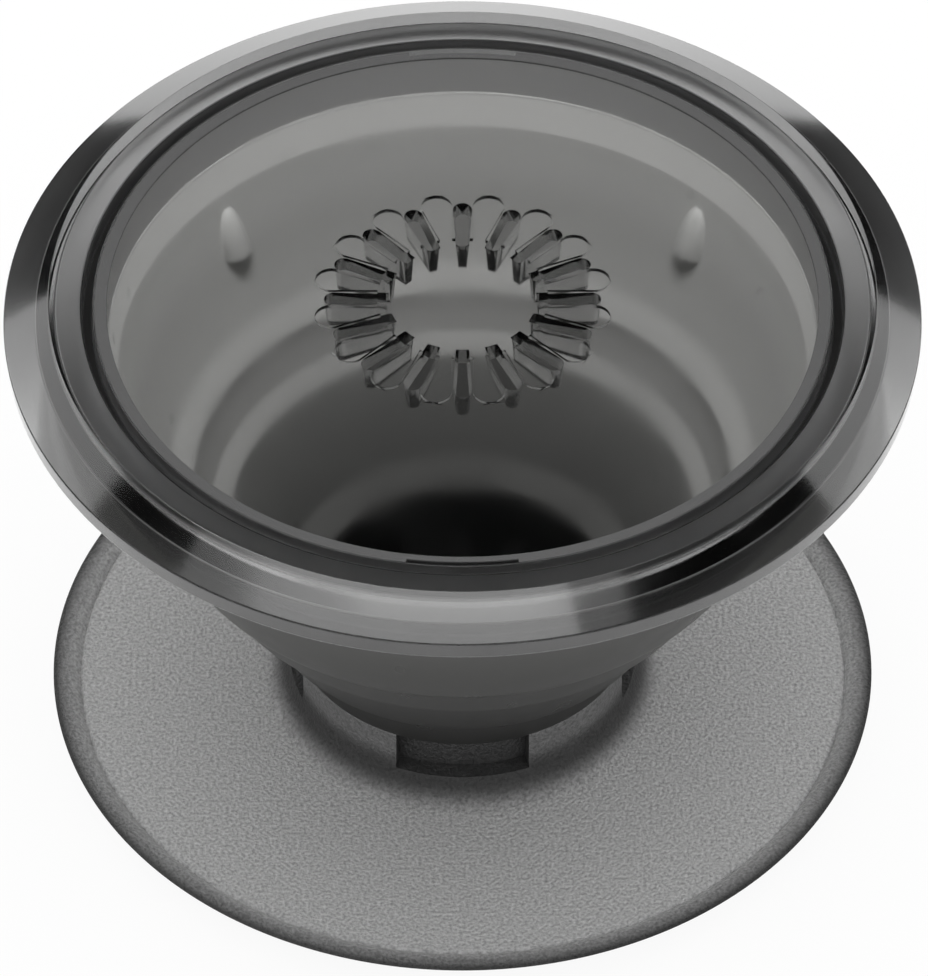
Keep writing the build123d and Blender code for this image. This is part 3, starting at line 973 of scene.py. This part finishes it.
class MESH_OT_grip_base(Operator):
    """Builds the textured base with its collar, hub and ribs"""

    bl_idname = "mesh.grip_base"
    bl_label = "Base"

    def execute(self, context):
        scene = context.scene
        points = base_points(scene.grip_base, scene.grip_disc.star_count)
        finish = spark_textured_polycarbonate(scene.grip_colours, scene.grip_base)
        piece = add_piece("textured_base", points, finish)
        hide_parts("base")
        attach(piece, "base")
        return {"FINISHED"}


class MESH_OT_grip_pad(Operator):
    """Builds the adhesive pad"""

    bl_idname = "mesh.grip_pad"
    bl_label = "Adhesive pad"

    def execute(self, context):
        scene = context.scene
        piece = add_piece("gel_pad", pad_points(scene.grip_base), gel(scene.grip_colours))
        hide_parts("adhesive_pad")
        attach(piece, "base")
        return {"FINISHED"}


def hide_from(thing, *rays):
    """Hides a thing from rays of those kinds."""
    for ray in rays:
        setattr(thing, f"visible_{ray}", False)


def add_floor():
    """A white paper floor: all but shadowless to the eye, shadowed round the base where clear plastic shows it, and
    a dimmer bounce to the pieces."""
    tree = new_finish("white_paper")
    rays = tree.add("LightPath")
    shade_span, painted_shades, bounces = (26 * MM, 40 * MM), (0.1, 0.95), (0.95, 0.35)
    shadow = tree.span(tree.radius(), shade_span, painted_shades, "SMOOTHSTEP")
    bounce = tree.span(rays["Is Diffuse Ray"], to=bounces)
    grey = tree.add("Mix", {"Factor": rays["Is Transmission Ray"], "A": bounce, "B": shadow})
    matt = tree.add("BsdfDiffuse", {"Color": grey[0]})
    white = tree.add("Emission", {"Strength": 1.0})
    seen = tree.math("MULTIPLY", rays["Is Camera Ray"], 0.92)
    paper = tree.surface("MixShader", {0: seen, 1: matt[0], 2: white[0]})
    # The paper lies a hair below the pad's underside
    drop, reach = 0.02 * MM, 2.0
    floor = add_piece("paper_floor", polar_grid([[0.0], [reach]], -drop, full_circle(STUDIO_COLUMNS)), paper)


def add_sky(ambient):
    """A sky that is white to the eye, reflections and clear plastic, and a soft fill for the rest."""
    world = bpy.data.worlds.new("studio_sky")
    tree = Nodes(world)
    rays = tree.add("LightPath")
    seen = tree.math("MAXIMUM", rays["Is Camera Ray"], rays["Is Glossy Ray"])
    seen = tree.math("MAXIMUM", seen, rays["Is Transmission Ray"])
    sky = tree.add("Background", {"Strength": tree.span(seen, to=(ambient, 1.0))})
    tree.add("OutputWorld", {"Surface": sky[0]})
    bpy.context.scene.world = world


def add_softbox(name, place, width, depth, power):
    """A rectangular area light that looks at the grip. The eye and clear plastic don't see it."""
    lamp = bpy.data.lights.new(name, "AREA")
    lamp.shape = "RECTANGLE"
    lamp.size = width
    lamp.size_y = depth
    lamp.energy = power
    softbox = bpy.data.objects.new(name, lamp)
    softbox.location = place
    aim = Vector((0, 0, FACE)) - Vector(place)
    softbox.rotation_euler = aim.to_track_quat("-Z", "Y").to_euler()
    hide_from(softbox, "camera", "transmission")
    bpy.context.scene.collection.objects.link(softbox)
    return softbox


def add_flag(name, radius, high, lean, low, dip, material):
    """A dark band round the studio that only reflections and clear plastic see, its lower edge dipping at the back
    and its upper edge leaning up to the right."""
    angle = full_circle(STUDIO_COLUMNS)
    crest = high + lean * np.cos(angle)
    edge = low - dip * np.clip(np.sin(angle), 0, 1) ** 3
    band = add_piece(name, polar_grid(radius, np.stack([crest, edge]), angle), material)
    hide_from(band, "camera", "diffuse", "shadow")


def add_tent(radius, gap):
    """A dome of dim felt that only clear plastic sees."""
    dim = new_finish("grey_felt").surface("Emission", {"Strength": 0.015})
    sweep = np.linspace(0, math.pi / 2, 13)[:, None]
    dome = polar_grid(radius * np.sin(sweep), gap + radius * np.cos(sweep), full_circle(STUDIO_COLUMNS))
    tent = add_piece("dark_tent", dome, dim)
    hide_from(tent, "camera", "diffuse", "glossy", "shadow")


class SCENE_OT_grip_stage(Operator):
    """Builds the floor, the sky, the softboxes, the flags and the camera"""

    bl_idname = "scene.grip_stage"
    bl_label = "Studio"

    def execute(self, context):
        scene = context.scene
        s = scene.grip_stage
        scene.view_settings.view_transform = "Standard"
        scene.cycles.max_bounces = 8
        scene.cycles.diffuse_bounces = 3
        scene.cycles.caustics_reflective = False
        scene.cycles.caustics_refractive = False
        add_floor()
        add_sky(s.ambient)

        # Softboxes overhead and to the sides show in the bevel, and the key light shines straight into the mouth
        for name, place, width, depth, power in (
            ("softbox_top", (-0.105, -0.11, 0.62), 0.65, 0.28, s.top_light),
            ("softbox_left", (-0.44, 0.33, 0.35), 0.44, 0.36, s.side_light),
            ("softbox_right", (0.44, 0.33, 0.35), 0.44, 0.36, s.side_light),
        ):
            hide_from(add_softbox(name, place, width, depth, power), "diffuse")
        key = add_softbox("key_light", (0, -0.06, 0.62), 0.16, 0.16, s.key_light)
        hide_from(key, "glossy")
        lit = bpy.data.collections.new("key_lit")
        for piece in filter(None, map(bpy.data.objects.get, ("bayonet_ring", "folding_wall"))):
            lit.objects.link(piece)
        key.light_linking.receiver_collection = lit

        black = new_finish("black_felt").surface("BsdfDiffuse", {"Color": (0.005, 0.005, 0.005, 1.0)})
        add_tent(radius=0.9, gap=0.002)
        add_flag("flag_low", radius=0.2, high=0.085, lean=0, low=0.01, dip=0, material=black)
        add_flag("flag_high", radius=0.3, high=0.545, lean=0.115, low=0.3, dip=0.055, material=black)

        camera = bpy.data.cameras.new("camera")
        camera.lens = s.lens
        camera.sensor_width = 36
        camera.clip_start = 0.01
        stand = bpy.data.objects.new("camera", camera)
        stand.location = s.camera
        stand.rotation_euler = (math.pi / 2 - s.pitch, 0, s.yaw)
        scene.collection.objects.link(stand)
        scene.camera = stand
        return {"FINISHED"}


class VIEW3D_PT_phone_grip(Panel):
    """Lists the builders of the phone grip"""

    bl_idname = "VIEW3D_PT_phone_grip"
    bl_label = "Phone grip"
    bl_space_type = "VIEW_3D"
    bl_region_type = "UI"
    bl_category = "Phone grip"

    def draw(self, context):
        for builder in BUILDERS:
            self.layout.operator(builder.bl_idname)


SETTINGS = {
    "grip_disc": GripDiscSizes,
    "grip_ring": GripRingSizes,
    "grip_accordion": GripAccordionSizes,
    "grip_base": GripBaseSizes,
    "grip_colours": GripColours,
    "grip_stage": GripStage,
}
BUILDERS = (
    MESH_OT_grip_disc,
    MESH_OT_grip_ring,
    MESH_OT_grip_accordion,
    MESH_OT_grip_base,
    MESH_OT_grip_pad,
    SCENE_OT_grip_stage,
)


def register():
    """Registers the classes and hangs the settings on the scene."""
    for group in (*SETTINGS.values(), *BUILDERS, VIEW3D_PT_phone_grip):
        bpy.utils.register_class(group)
    for name, group in SETTINGS.items():
        setattr(bpy.types.Scene, name, PointerProperty(type=group))


def unregister():
    """Takes the settings off the scene and unregisters the classes."""
    for name in SETTINGS:
        delattr(bpy.types.Scene, name)
    for group in reversed((*SETTINGS.values(), *BUILDERS, VIEW3D_PT_phone_grip)):
        bpy.utils.unregister_class(group)


def main():
    register()
    bpy.ops.mesh.grip_disc()
    bpy.ops.mesh.grip_ring()
    bpy.ops.mesh.grip_accordion()
    bpy.ops.mesh.grip_base()
    bpy.ops.mesh.grip_pad()
    bpy.ops.scene.grip_stage()


if __name__ == "__main__":
    main()
